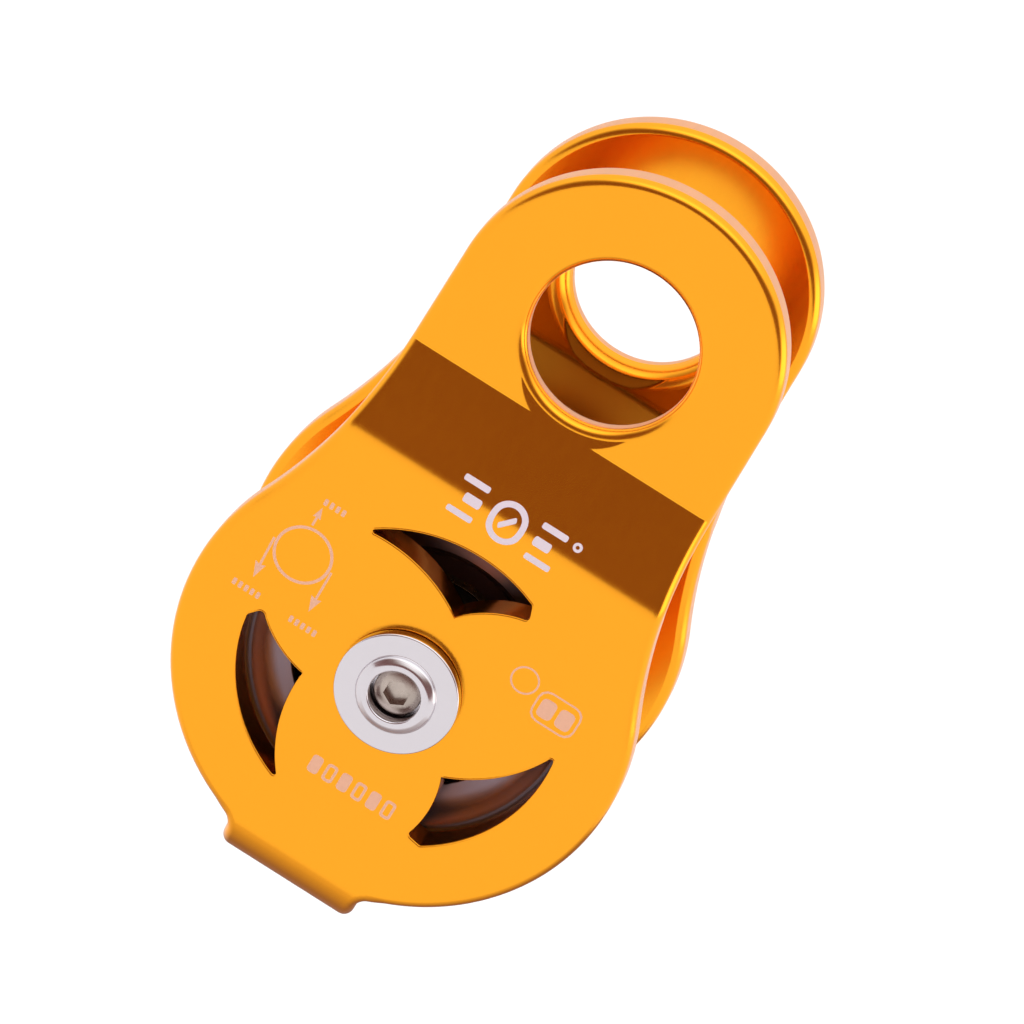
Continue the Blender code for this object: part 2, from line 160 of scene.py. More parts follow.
class PulleyFinishes(bpy.types.PropertyGroup):
    """Colours of the pieces; the sheave recess colour is painted shade."""

    anodised: colour("Frame", "Orange anodised sheet", (0.97, 0.39, 0.022))
    cut_edge: colour("Cut edge", "Paler edge of the sheet", (0.84, 0.42, 0.2))
    sheave: colour("Sheave", "Bronze anodised wheel", (0.30, 0.23, 0.26))
    # Painted shade: near-black for the shade deep inside the wheel round the hub.
    recess: colour("Sheave recess", "Dark inside of the wheel", (0.06, 0.045, 0.05))
    polished: colour("Axle", "Polished flanges", (0.67, 0.64, 0.67))
    steel: colour("Screw", "Plain steel", (0.5, 0.43, 0.38))
    marks: colour("Marks", "Marks on the cheek", (0.86, 0.76, 0.85))
    faint_marks: colour("Faint marks", "Lighter marks on the cheek", (0.96, 0.54, 0.36))
    floor: colour("Floor", "Plain pale floor", (0.93, 0.93, 0.93))
    card: colour("Card", "Card that shades the lower edges", (0.27, 0.2, 0.19))


class PulleyStudio(bpy.types.PropertyGroup):
    """Camera and lights."""

    azimuth: angle("Azimuth", "Turn of the camera round the pulley", 1.02)
    elevation: angle("Elevation", "Camera above the horizon", 23.86)
    roll: angle("Roll", "Tilt of the camera about its line of sight", 31.78)
    distance: length("Distance", "Camera to the middle of the pulley", 600.0)
    aim_height: length("Aim height", "Point looked at, above the axle", 20.39)
    lens: FloatProperty(name="Lens", description="Focal length in millimetres", default=167.43, min=1.0)
    floor_drop: length("Floor drop", "Floor below the hanging pulley", 260.0)
    card_drop: length("Card drop", "Dark card below the hanging pulley", 115.0)


# Modelling helpers


def select_only(obj):
    bpy.ops.object.select_all(action="DESELECT")
    obj.select_set(True)
    bpy.context.view_layer.objects.active = obj


def edit(obj):
    """Opens the piece in edit mode with nothing selected, and returns its mesh."""
    select_only(obj)
    bpy.ops.object.mode_set(mode="EDIT")
    bpy.ops.mesh.select_mode(type="EDGE")
    bpy.ops.mesh.select_all(action="DESELECT")
    return bmesh.from_edit_mesh(obj.data)


def leave_edit():
    bpy.ops.object.mode_set(mode="OBJECT")


def arc(centre, radius, start, end, steps):
    """Points along an arc, both ends included."""
    turn = (end - start) / steps
    angles = [start + turn * i for i in range(steps + 1)]
    return [(centre[0] + radius * math.cos(a), centre[1] + radius * math.sin(a)) for a in angles]


def ring(centre, radius, steps):
    return arc(centre, radius, 0.0, 2 * math.pi, steps)[:-1]


def polar(radius, turn):
    return (radius * math.cos(turn), radius * math.sin(turn))


def bulged(start, end, bulge, steps):
    """Points on an arc between two points, whose middle stands off to the left by bulge."""
    dx, dy = end[0] - start[0], end[1] - start[1]
    chord = math.hypot(dx, dy)
    radius = (chord**2 / 4 + bulge**2) / (2 * bulge)
    middle = ((start[0] + end[0]) / 2, (start[1] + end[1]) / 2)
    reach = (bulge - radius) / chord
    centre = (middle[0] - dy * reach, middle[1] + dx * reach)
    first = math.atan2(start[1] - centre[1], start[0] - centre[0])
    half = math.asin(chord / 2 / radius)
    return arc(centre, radius, first, first - 2 * half, steps)


def rounded(corners, steps=5):
    """A closed profile from (radius, along, fillet) corners."""
    points = []
    for i, (x, y, fillet) in enumerate(corners):
        corner = Vector((x, y))
        if not fillet:
            points.append((x, y))
            continue
        before = (Vector(corners[i - 1][:2]) - corner).normalized()
        after = (Vector(corners[(i + 1) % len(corners)][:2]) - corner).normalized()
        half = before.angle(after) / 2
        centre = corner + (before + after).normalized() * fillet / math.sin(half)
        start = (corner + before * fillet / math.tan(half) - centre).normalized()
        end = (corner + after * fillet / math.tan(half) - centre).normalized()
        swing = [start.slerp(end, j / steps) for j in range(steps + 1)]
        points += [tuple(centre + direction * fillet) for direction in swing]
    return points


def closed_curves(name, dimensions, loops):
    """A curve object with a closed line through each loop of points."""
    curve = bpy.data.curves.new(name, "CURVE")
    curve.dimensions = dimensions
    for loop in loops:
        spline = curve.splines.new("POLY")
        spline.points.add(len(loop) - 1)
        spline.use_cyclic_u = True
        for point, place in zip(spline.points, loop):
            point.co = (*place, 1.0)
    obj = bpy.data.objects.new(name, curve)
    bpy.context.scene.collection.objects.link(obj)
    return obj


def flat_plate(name, outlines, thickness, rim=0.0, rim_steps=0):
    """A plate standing in the XZ plane from closed outlines in X and Z, with rounded rims inside them."""
    obj = closed_curves(name, "2D", [[(x, z, 0.0) for x, z in outline] for outline in outlines])
    curve = obj.data
    curve.fill_mode = "BOTH"
    curve.extrude = thickness / 2 - rim
    curve.bevel_depth = rim
    curve.bevel_resolution = rim_steps
    curve.offset = -rim
    select_only(obj)
    bpy.ops.object.convert(target="MESH")
    obj.rotation_euler = (math.pi / 2, 0.0, 0.0)
    bpy.ops.object.transform_apply(location=True, rotation=True, scale=True)
    edit(obj)
    bpy.ops.mesh.select_all(action="SELECT")
    bpy.ops.mesh.remove_doubles(threshold=1e-6)
    bpy.ops.mesh.normals_make_consistent(inside=False)
    bpy.ops.mesh.dissolve_limited(angle_limit=math.radians(0.05))
    leave_edit()
    return obj


def turned(name, profile, steps=TURN_STEPS, closed=True):
    """A piece turned about the axle: a ring, drawn out and resized from point to point of the profile."""
    pole = 1e-6
    points = [(max(radius, pole), along) for radius, along in profile]
    bpy.ops.object.select_all(action="DESELECT")
    bpy.ops.mesh.primitive_circle_add(
        vertices=steps,
        radius=points[0][0],
        location=(0.0, points[0][1], 0.0),
        rotation=(math.pi / 2, 0.0, 0.0),
    )
    obj = bpy.context.object
    obj.name = obj.data.name = name
    bpy.ops.object.transform_apply(location=True, rotation=True, scale=True)
    edit(obj)
    bpy.ops.mesh.select_all(action="SELECT")
    for (radius, along), (next_radius, next_along) in zip(points, points[1:]):
        bpy.ops.mesh.extrude_region_move(
            TRANSFORM_OT_translate={"value": (0.0, next_along - along, 0.0)}
        )
        scale = next_radius / radius
        bpy.ops.transform.resize(
            value=(scale, 1.0, scale), center_override=(0.0, next_along, 0.0)
        )
    if closed:
        select_rings(obj)
        bpy.ops.mesh.bridge_edge_loops()
    bpy.ops.mesh.select_all(action="SELECT")
    bpy.ops.mesh.remove_doubles(threshold=5e-6)
    bpy.ops.mesh.normals_make_consistent(inside=False)
    leave_edit()
    return obj


def select_rings(obj):
    """Selects the open edges: the first and the last ring of a turned piece."""
    bpy.ops.mesh.select_all(action="DESELECT")
    mesh = bmesh.from_edit_mesh(obj.data)
    for edge in mesh.edges:
        edge.select_set(len(edge.link_faces) == 1)
    bmesh.update_edit_mesh(obj.data)


def apply_modifier(obj, kind, **settings):
    select_only(obj)
    modifier = obj.modifiers.new(kind.title(), kind)
    for key, value in settings.items():
        setattr(modifier, key, value)
    bpy.ops.object.modifier_apply(modifier=modifier.name)


def cut(obj, tool):
    """Takes the tool's shape out of the piece."""
    apply_modifier(obj, "BOOLEAN", operation="DIFFERENCE", solver="EXACT", object=tool)
    bpy.data.objects.remove(tool, do_unlink=True)


def hexagon(across_flats, low, high):
    """A hexagonal punch along the axle."""
    bpy.ops.object.select_all(action="DESELECT")
    bpy.ops.mesh.primitive_cylinder_add(
        vertices=6,
        radius=across_flats / 2 / math.cos(math.pi / 6),
        depth=high - low,
        location=(0.0, (low + high) / 2, 0.0),
        rotation=(math.pi / 2, 0.0, 0.0),
    )
    return bpy.context.object


def finish_piece(obj, body, materials, replaced):
    """Sets the piece down from the axle to the eye's frame, smooths it, and ties it to its body."""
    sizes = bpy.context.scene.pulley_frame
    select_only(obj)
    obj.location.z -= sizes.eye_height
    bpy.ops.object.transform_apply(location=True, rotation=True, scale=True)
    bpy.ops.object.shade_smooth_by_angle(angle=SMOOTH_ANGLE)
    apply_modifier(obj, "WEIGHTED_NORMAL", keep_sharp=True, weight=60)
    for material in materials:
        obj.data.materials.append(material)
    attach(obj, body)
    if replaced:
        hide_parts(*replaced)


# The folded sheet


def joggle_angle(sizes):
    step = (sizes.body_width - sizes.head_width) / 2
    return math.atan2(step, sizes.joggle_top - sizes.joggle_foot)


def bends(sizes):
    """Start and length of each bend on the flat sheet, from the axle: strap, ridge and valley."""
    slope = joggle_angle(sizes)
    ridge_run = sizes.ridge_bend * math.tan(slope / 2)
    valley_run = sizes.valley_bend * math.tan(slope / 2)
    ridge = sizes.joggle_foot - sizes.sheet / 2 * math.tan(slope / 2) - ridge_run
    ridge_length = sizes.ridge_bend * slope
    straight = (sizes.joggle_top - sizes.joggle_foot) / math.cos(slope) - ridge_run - valley_run
    strap = (sizes.strap_bend - sizes.sheet / 2) * math.pi / 2
    return {
        "strap": (sizes.strap_bottom - sizes.strap_bend, strap),
        "ridge": (ridge, ridge_length),
        "valley": (ridge + ridge_length + straight, sizes.valley_bend * slope),
    }


def on_flat_sheet(sizes, height):
    """Where a height of the folded head lies on the flat sheet."""
    slope = joggle_angle(sizes)
    start, bend = bends(sizes)["valley"]
    folded = sizes.joggle_top + math.tan(slope / 2) * (sizes.valley_bend - sizes.sheet / 2)
    return height + start + bend - folded


def frame_outline(sizes):
    """The flat sheet of one cheek and half the strap."""
    head = on_flat_sheet(sizes, sizes.head_height)
    half_strap = sizes.strap_width / 2
    relief_x = half_strap + sizes.relief_radius
    relief_drop = math.sqrt((sizes.disc_radius + sizes.relief_radius) ** 2 - relief_x**2)
    relief_end = math.atan2(relief_drop, -relief_x)
    waist, meet = waist_centre(sizes, head)
    start, bend = bends(sizes)["strap"]
    strap_end = -start - bend - sizes.body_width / 2 + sizes.strap_bend - sizes.sheet
    taper = sizes.side_taper
    right = [(half_strap, strap_end)]
    right += arc((relief_x, -relief_drop), sizes.relief_radius, math.pi, relief_end, 14)
    right += arc((0.0, 0.0), sizes.disc_radius, relief_end - math.pi, meet, 90)[1:]
    right += arc(waist, sizes.waist_radius, meet + math.pi, taper + math.pi, 28)[1:]
    top = arc((0.0, head), sizes.head_radius, taper, math.pi - taper, 110)
    return right + top + [(-x, z) for x, z in reversed(right)]


def waist_centre(sizes, head):
    """Centre of the hollow that touches the disc and the leaning side of the head."""
    lean = Vector((math.cos(sizes.side_taper), math.sin(sizes.side_taper)))
    down = Vector((lean.y, -lean.x))
    start = Vector((0.0, head)) + lean * (sizes.head_radius + sizes.waist_radius)
    along = start.dot(down)
    spare = start.length_squared - (sizes.disc_radius + sizes.waist_radius) ** 2
    centre = start + down * (-along - math.sqrt(along**2 - spare))
    return tuple(centre), math.atan2(centre.y, centre.x)


def window_outline(number):
    """One curved-triangle window: outer arc, long side and short side."""
    turn = number * 2 * math.pi / WINDOWS
    outer, inner, end_reach = 21.3 * MM, 12.35 * MM, 19.6 * MM
    tip_turn, corner_turn, end_turn = (math.radians(at) + turn for at in (131.8, 84.7, 61.4))
    long_bulge, short_bulge = 1.6 * MM, 0.84 * MM
    tip_round, blunt = 0.9 * MM, 1.5 * MM
    corner = polar(inner, corner_turn)
    outer_arc = arc((0.0, 0.0), outer, end_turn + blunt * 1.2 / outer, tip_turn, 40)
    long_side = bulged(polar(outer, tip_turn), corner, long_bulge, 26)
    short_side = bulged(corner, polar(end_reach, end_turn), short_bulge, 14)
    outline = outer_arc + long_side[1:] + short_side[1:]
    return soften(outline, {len(outer_arc) - 1: tip_round, len(outline) - 1: blunt, 0: blunt})


def soften(outline, fillets):
    """Rounds the numbered corners of an outline. Points close to a corner make way for its arc."""
    reach = max(fillets.values()) * 0.9
    kept = []
    for i, point in enumerate(outline):
        near = min(math.dist(point, outline[corner]) for corner in fillets if corner != i)
        if i in fillets or near > reach:
            kept.append((*point, fillets.get(i, 0.0) / 2))
    return rounded(kept, 6)


def fold(obj, sizes):
    """Bends a flat sheet as the frame is bent: the valley and the ridge of the joggle, then the strap."""
    slope = joggle_angle(sizes)
    stations = bends(sizes)
    middle = (sizes.sheet - sizes.body_width) / 2
    mesh = edit(obj)
    heights = [vert.co.z for vert in mesh.verts]
    low, high = min(heights), max(heights)
    for name, steps in (("strap", 28), ("ridge", 10), ("valley", 6)):
        start, run = stations[name]
        for i in range(steps + 1):
            height = start + run * i / steps
            height = -height if name == "strap" else height
            if low < height < high:
                bpy.ops.mesh.select_all(action="SELECT")
                bpy.ops.mesh.bisect(plane_co=(0.0, 0.0, height), plane_no=(0.0, 0.0, 1.0))
    leave_edit()
    for name, turn in (("valley", -slope), ("ridge", slope), ("strap", math.pi / 2)):
        bend(obj, *stations[name], turn, middle, downwards=name == "strap")


def bend(obj, start, run, turn, middle, downwards):
    """Bends the sheet about X, towards +Y for a positive turn, over one stretch of its height."""
    side = -1.0 if downwards else 1.0
    bpy.ops.object.select_all(action="DESELECT")
    bpy.ops.object.empty_add(
        location=(0.0, middle, side * start),
        rotation=(0.0, math.pi if downwards else 0.0, 0.0),
    )
    guide = bpy.context.object
    along = [side * vert.co.z - start for vert in obj.data.vertices]
    low, high = min(along), max(along)
    first, last = max(low, 0.0), min(high, run)
    if last - first > 1e-7:
        limits = ((first - low) / (high - low), (last - low) / (high - low))
        apply_modifier(
            obj,
            "SIMPLE_DEFORM",
            deform_method="BEND",
            deform_axis="X",
            origin=guide,
            angle=turn * (last - first) / run,
            limits=limits,
        )
    bpy.data.objects.remove(guide, do_unlink=True)


def build_lips(sizes, material):
    """A fine rounded lip along the outer edge of each window, front and rear."""
    depth = sizes.body_width / 2 - 0.75 * sizes.window_lip
    loops = [
        [(x, side * depth, z) for x, z in window_outline(number)]
        for number in range(WINDOWS)
        for side in (-1, 1)
    ]
    lips = closed_curves("window_lips", "3D", loops)
    lips.data.bevel_depth = sizes.window_lip
    lips.data.bevel_resolution = 3
    select_only(lips)
    bpy.ops.object.convert(target="MESH")
    edit(lips)
    bpy.ops.mesh.select_all(action="SELECT")
    bpy.ops.mesh.normals_make_consistent(inside=False)
    leave_edit()
    finish_piece(lips, "frame", [material], [])


def flare_eye(obj, sizes, height):
    """Rolls the inner mouth of the eye outwards, between the cheeks."""
    flare, face = sizes.eye_flare, sizes.sheet / 2
    centre = (sizes.eye_radius + flare, face - flare)
    sweep = arc(centre, flare, math.radians(172), math.radians(94), 12)
    start = (sizes.eye_radius - 0.3 * MM, sweep[0][1] - 0.6 * MM)
    inside, outside = 9 * MM, centre[0] + 0.3 * MM
    profile = [(inside, start[1]), start, *sweep, (outside, face + 0.1 * MM)]
    profile += [(outside, sizes.sheet), (inside, sizes.sheet)]
    tool = turned("eye_flare", profile, EYE_STEPS)
    tool.location.z = height
    cut(obj, tool)


def build_frame(sizes, finishes):
    eye_at = on_flat_sheet(sizes, sizes.eye_height)
    eye = ring((0.0, eye_at), sizes.eye_radius, EYE_STEPS)
    sheet = flat_plate(
        "folded_frame", [frame_outline(sizes), eye], sizes.sheet, sizes.rim_round, 6
    )
    for number in range(WINDOWS):
        cut(sheet, flat_plate("punch", [window_outline(number)], sizes.sheet * 2))
    axle = bpy.context.scene.pulley_axle
    hole = ring((0.0, 0.0), axle.radius + axle.gap, 64)
    cut(sheet, flat_plate("punch", [hole], sizes.sheet * 2))
    flare_eye(sheet, sizes, eye_at)
    mark_cut_edges(sheet)
    sheet.location.y = (sizes.sheet - sizes.body_width) / 2
    select_only(sheet)
    bpy.ops.object.transform_apply(location=True, rotation=True, scale=True)
    fold(sheet, sizes)
    edit(sheet)
    bpy.ops.mesh.select_all(action="SELECT")
    bpy.ops.mesh.bisect(
        plane_co=(0.0, 0.0, 0.0), plane_no=(0.0, 1.0, 0.0), clear_outer=True
    )
    leave_edit()
    apply_modifier(
        sheet,
        "MIRROR",
        use_axis=(False, True, False),
        use_clip=True,
        merge_threshold=0.01 * MM,
    )
    orange = anodised("orange_anodised", finishes.anodised)
    milled = cut_edge("milled_edge", finishes.cut_edge)
    finish_piece(sheet, "frame", [orange, milled], ["cheek_frame"])
    build_lips(sizes, orange)


def mark_cut_edges(obj):
    """The milled walls of the outline and the eye take the second finish; the windows keep the first."""
    past_windows = 22 * MM
    for face in obj.data.polygons:
        reach = math.hypot(face.center.x, face.center.z)
        upright = abs(face.normal.y) < 0.14
        face.material_index = int(upright and reach > past_windows)


# Turned pieces


def sheave_profile(sizes):
    """The wheel's outline, clockwise from the inner edge of the rear recess."""
    side = sizes.width / 2
    centre = sizes.tread + sizes.groove
    lip = math.acos((centre - sizes.radius + 0.3 * MM) / sizes.groove)
    groove = arc((centre, 0.0), sizes.groove, math.pi - lip, math.pi + lip, 40)
    rim_edge = groove[0][1] + 0.5 * MM
    face = [
        (13.4 * MM, 5.4 * MM, 0.0),
        (14.0 * MM, 6.0 * MM, 0.4 * MM),
        (15.9 * MM, 9.6 * MM, 0.3 * MM),
        (16.2 * MM, 10.4 * MM, 0.25 * MM),
        (18.7 * MM, 10.7 * MM, 3.2 * MM),
        (20.9 * MM, side, 0.6 * MM),
        (sizes.radius, side, 0.5 * MM),
        (sizes.radius, rim_edge, 0.35 * MM),
    ]
    start = [(groove[0][0], groove[0][1], 0.0)]
    half = rounded(face + start, 5)[:-1]
    mirrored = [(radius, -along) for radius, along in reversed(half)]
    return half + groove + mirrored


def build_sheave(sizes, finishes):
    seat, ring_seat, hub = 3.25 * MM, 4.75 * MM, 5.4 * MM
    ring_groove, shoulder = 11.9 * MM, 10.0 * MM
    bore = [
        (sizes.bore, -hub),
        (sizes.bore, -ring_seat),
        (ring_groove, -ring_seat),
        (ring_groove, -seat),
        (sizes.bore, -seat),
        (sizes.bore, seat),
        (shoulder, seat),
        (shoulder, hub),
    ]
    wheel = turned("grooved_wheel", sheave_profile(sizes) + bore)
    material = wheel_finish_and_painted_shade("bronze_anodised", finishes.sheave, finishes.recess)
    finish_piece(wheel, "sheave_unit", [material], ["sheave"])


def spacer_profile(sizes, frame_sizes):
    bore = sizes.radius + sizes.gap
    race = 3.0 * MM + sizes.gap
    cheek = frame_sizes.body_width / 2 - frame_sizes.sheet - sizes.gap
    foot, neck = 8.2 * MM, 6.5 * MM
    return rounded(
        [
            (bore, cheek, 0.0),
            (foot, cheek, 0.3 * MM),
            (foot, cheek - 2.0 * MM, 0.5 * MM),
            (neck, cheek - 4.2 * MM, 0.8 * MM),
            (neck, race, 0.3 * MM),
            (bore, race, 0.0),
        ]
    )


def build_spacers(sizes, frame_sizes, finishes):
    profile = spacer_profile(sizes, frame_sizes)
    material = turned_steel("spacer_steel", finishes.steel)
    for end, side in (("rear", 1), ("front", -1)):
        spacer = turned(f"{end}_spacer", [(radius, side * along) for radius, along in profile], 96)
        finish_piece(spacer, "frame", [material], [f"spacer_{end}"])


def flange_corners(sizes, under, inner):
    """The outside of a flange from its inner edge to its underside, as corners; outwards is positive."""
    top = under + sizes.flange_height
    crown = top + sizes.collar_height
    return [
        (inner, crown, 0.3 * MM),
        (inner + 0.9 * MM, crown, 0.9 * MM),
        (sizes.collar_radius - 0.12 * MM, top + 0.35 * MM, 0.7 * MM),
        (sizes.collar_radius, top, 0.15 * MM),
        (sizes.flange_radius, top, 0.28 * MM),
        (sizes.flange_radius, under, 0.12 * MM),
    ]


def build_axle(sizes, frame_sizes, finishes):
    under = frame_sizes.body_width / 2 + sizes.gap
    joint = frame_sizes.body_width / 2 - frame_sizes.sheet - 0.3 * MM
    seat = under - 1.1 * MM
    polished = polished_metal("polished_aluminium", finishes.polished)
    steel = turned_steel("screw_steel", finishes.steel)
    build_cap(sizes, under, joint + sizes.gap, seat, polished)
    build_barrel(sizes, under, joint, polished)
    build_screw(sizes, seat, steel)


def build_cap(sizes, under, joint, seat, polished):
    recess = sizes.screw_head + sizes.gap
    thread = sizes.screw_radius + sizes.gap
    spigot, spigot_end = 3.4 * MM, joint - 3.05 * MM
    cap = flange_corners(sizes, under, recess) + [
        (sizes.radius, under, 0.0),
        (sizes.radius, joint, 0.0),
        (spigot, joint, 0.0),
        (spigot, spigot_end, 0.0),
        (thread, spigot_end, 0.0),
        (thread, seat, 0.0),
        (recess, seat, 0.0),
    ]
    piece = turned("front_flange", [(radius, -along) for radius, along in rounded(cap)])
    finish_piece(piece, "frame", [polished], ["axle_cap"])


def build_barrel(sizes, under, joint, polished):
    thread, drill_end, drill_point = sizes.screw_radius + sizes.gap, -0.6 * MM, 1.2 * MM
    crown = under + sizes.flange_height + sizes.collar_height
    counterbore, counterbore_end = 3.65 * MM, 3.2 * MM - joint
    barrel = flange_corners(sizes, under, 0.9 * MM)[1:] + [
        (sizes.radius, under, 0.0),
        (sizes.radius, -joint, 0.3 * MM),
        (counterbore, -joint, 0.0),
        (counterbore, counterbore_end, 0.0),
        (thread, counterbore_end, 0.0),
        (thread, drill_end, 0.0),
        (0.0, drill_point, 0.0),
    ]
    profile = [(0.0, crown)] + rounded([(0.0, crown, 0.0)] + barrel)[1:]
    piece = turned("rear_flange", profile, closed=False)
    cut(piece, hexagon(sizes.barrel_socket, under + 1.0 * MM, crown + 2.0 * MM))
    finish_piece(piece, "frame", [polished], ["axle_barrel"])


def build_screw(sizes, seat, steel):
    head, crown = seat + 0.2 * MM, seat + 2.3 * MM
    dome, dome_rise, dome_turn, dome_steps = sizes.screw_head, 0.85 * MM, math.radians(78), 12
    point, point_chamfer = 1.5 * MM, 0.5 * MM
    bulge = [
        (dome * math.sin(a), crown - dome_rise * (1 - math.cos(a)) ** 0.9)
        for a in (dome_turn * i / dome_steps for i in range(1, dome_steps + 1))
    ]
    sides = rounded(
        [
            (*bulge[-1], 0.0),
            (dome, crown - 0.95 * MM, 0.0),
            (dome, head, 0.15 * MM),
            (sizes.screw_radius, head, 0.0),
            (sizes.screw_radius, point + point_chamfer, 0.0),
            (sizes.screw_radius - point_chamfer, point, 0.0),
            (0.0, point, 0.0),
        ]
    )
    profile = [(0.0, crown)] + bulge + sides[1:]
    piece = turned("axle_bolt", [(radius, -along) for radius, along in profile], 96, False)
    cut(piece, hexagon(sizes.screw_socket, -crown - 1.0 * MM, 1.3 * MM - crown))
    finish_piece(piece, "frame", [steel], ["axle_screw"])


# Marks on the front cheek


def bar(centre, size, turn=0.0):
    """A rounded bar, turned anticlockwise."""
    x, z = size[0] / 2, size[1] / 2
    fillet = min(x, z) * 0.6
    outline = rounded([(-x, -z, fillet), (x, -z, fillet), (x, z, fillet), (-x, z, fillet)], 3)
    cos, sin = math.cos(turn), math.sin(turn)
    return [(centre[0] + x * cos - z * sin, centre[1] + x * sin + z * cos) for x, z in outline]


def arrow(tip, tail, width, head):
    """An arrow with a tapered head."""
    start, end = Vector(tail), Vector(tip)
    along = (end - start).normalized()
    side = Vector((-along.y, along.x))
    neck = end - along * head
    barb, sweep = side * head * 0.36, along * head * 0.1
    points = [
        start - side * width,
        neck - side * width,
        neck - barb - sweep,
        end,
        neck + barb - sweep,
        neck + side * width,
        start + side * width,
    ]
    return [tuple(point) for point in points]


def load_diagram():
    """A rope over a wheel, pulled down on both sides and held from above."""
    (x, z), radius, line = (-18.85, 8.62), 3.7, 0.2
    left, right, top, drop = x - radius, x + radius, z + radius, z - 6.2
    shaft = 0.16
    return [
        ring((x, z), radius + line, 64),
        ring((x, z), radius - line, 64),
        arrow((left - 0.2, drop), (left - 0.45, z), shaft, 2.0),
        arrow((right + 0.5, drop), (right + 0.45, z), shaft, 2.0),
        arrow((x - 0.9, top + 3.2), (x - 0.9, top + 0.4), shaft, 1.5),
    ]


def faint_rows():
    """Short rows of small dashes above the diagram and under it."""
    rows = [((-18.44, 16.36), 4), ((-22.79, 0.6), 5), ((-14.35, 0.3), 5)]
    step, dash = 0.85, (0.5, 0.95)
    return [
        bar((x + (i - (count - 1) / 2) * step, z), dash) for (x, z), count in rows for i in range(count)
    ]


def maker_mark():
    """A plain mark on the foot of the joggle: a ring between two stacks of bars, and a dot."""
    middle, high = 0.5, 26.5
    dot = (middle + 8.9, high + 1.7)
    outlines = [ring((middle, high), 2.45, 48), ring((middle, high), 1.65, 48)]
    outlines += [bar((middle, high), (2.1, 0.55), math.radians(35))]
    stack, step, thick = ((3.6, 5.6), (2.4, 5.0), (3.6, 5.6)), 1.85, 0.85
    for side in (-1, 1):
        for i, (width, along) in enumerate(stack):
            outlines.append(bar((middle + side * along, high + (i - 1) * step), (width, thick)))
    return outlines + [ring(dot, 0.62, 24), ring(dot, 0.25, 16)]


def notice():
    """A plain frame with two filled panels, and a plain ring beside it."""
    (x, z), beside, panel = (18.1, 8.6), (12.6, 10.3), (2.1, 2.7)
    return [
        ring(beside, 1.9, 40),
        ring(beside, 1.65, 40),
        bar((x, z), (6.2, 4.6)),
        bar((x, z), (5.7, 4.1)),
        bar((x - 1.3, z - 0.1), panel),
        bar((x + 1.3, z - 0.1), panel),
    ]


def batch_row():
    """A row of plain dashes, every second one hollow, in place of a batch number."""
    first, step, height = -4.0, 2.15, -15.1
    outlines = []
    for i in range(6):
        centre = (first + i * step, height)
        outlines.append(bar(centre, (1.5, 2.6)))
        if i % 2:
            outlines.append(bar(centre, (0.75, 1.8)))
    return outlines


def in_metres(outline):
    """The marks are drawn in millimetres, and a point that is a hair off the middle is put on it."""
    return [(x * MM if abs(x) > 1e-9 else 0.0, z * MM) for x, z in outline]


def build_marks(sizes, finishes):
    thickness, proud = 0.02 * MM, 0.005 * MM
    bright = laser_mark("bright_mark", finishes.marks)
    faint = laser_mark("faint_mark", finishes.faint_marks)
    groups = (
        ("load_diagram", load_diagram(), faint),
        ("load_rows", faint_rows(), faint),
        ("maker_mark", maker_mark(), bright),
        ("notice_panel", notice(), faint),
        ("batch_row", batch_row(), faint),
    )
    for name, outlines, material in groups:
        marks = flat_plate(name, map(in_metres, outlines), thickness)
        marks.location.y = -sizes.body_width / 2 - proud
        select_only(marks)
        bpy.ops.object.transform_apply(location=True, rotation=True, scale=True)
        fold(marks, sizes)
        finish_piece(marks, "frame", [material], [])


# Finishes


class Value:
    """A node's output, for arithmetic that adds Math nodes."""

    def __init__(self, finish, socket):
        self.finish = finish
        self.socket = socket

    def math(self, operation, *values):
        return self.finish.node("ShaderNodeMath", {"operation": operation}, *values)

    def __add__(self, other):
        return self.math("ADD", self, other)

    __radd__ = __add__

    def __sub__(self, other):
        return self.math("SUBTRACT", self, other)

    def __rsub__(self, other):
        return self.math("SUBTRACT", other, self)

    def __mul__(self, other):
        return self.math("MULTIPLY", self, other)

    __rmul__ = __mul__

    def ramp(self, low, high):
        """0 at low, 1 at high, and straight between."""
        settings = {"clamp": True}
        return self.finish.node("ShaderNodeMapRange", settings, self, low, high, 0.0, 1.0)


